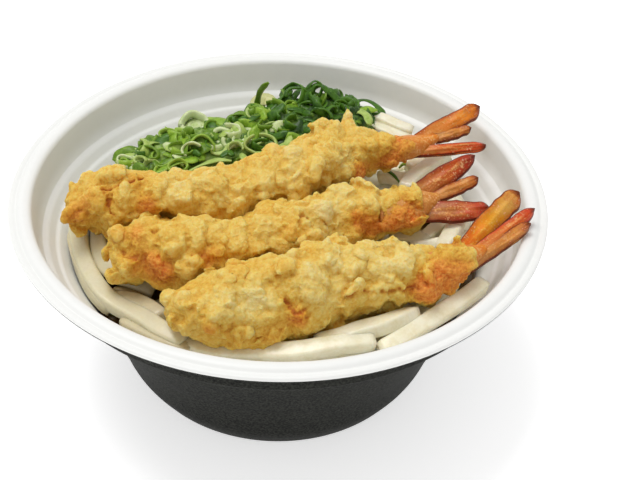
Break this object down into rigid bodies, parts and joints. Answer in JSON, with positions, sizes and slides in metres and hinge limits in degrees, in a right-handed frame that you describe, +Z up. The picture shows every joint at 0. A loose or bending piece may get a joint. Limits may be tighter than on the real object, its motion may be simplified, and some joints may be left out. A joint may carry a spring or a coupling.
{
  "type": "udon noodle bowl",
  "caption": "Round foamed take-out bowl of udon noodles in dark broth, topped with battered fried prawns lying side by side and a heap of sliced green onion",
  "frame": {"origin": "under the middle of the bowl's base, on the surface that it stands on", "axes": "+Z up, +X to the diner's right, +Y away from the diner; the prawns lie roughly along X with their tails to +X"},
  "size_m": [0.18, 0.18, 0.0829],
  "materials": {
    "foam": "white foamed plastic with a fine grain inside and on the flange, charcoal black outside",
    "broth": "dark clear brown liquid with a glossy surface",
    "noodles": "moist ivory wheat noodles with a soft sheen",
    "onion": "moist green rings and strips, pale at the root end",
    "batter": "crisp pale golden batter, lumpy, browned in its hollows",
    "prawn_shell": "cooked orange red shell, thin and glossy at the tail fan"
  },
  "bodies": {
    "root": {"bowl": "foam", "broth": "broth", "noodle_heap": "noodles", "onion_heap": "onion", "prawn_back_batter": "batter", "prawn_back_tail": "prawn_shell", "prawn_middle_batter": "batter", "prawn_middle_tail": "prawn_shell", "prawn_front_batter": "batter", "prawn_front_tail": "prawn_shell"}
  },
  "joints": []
}
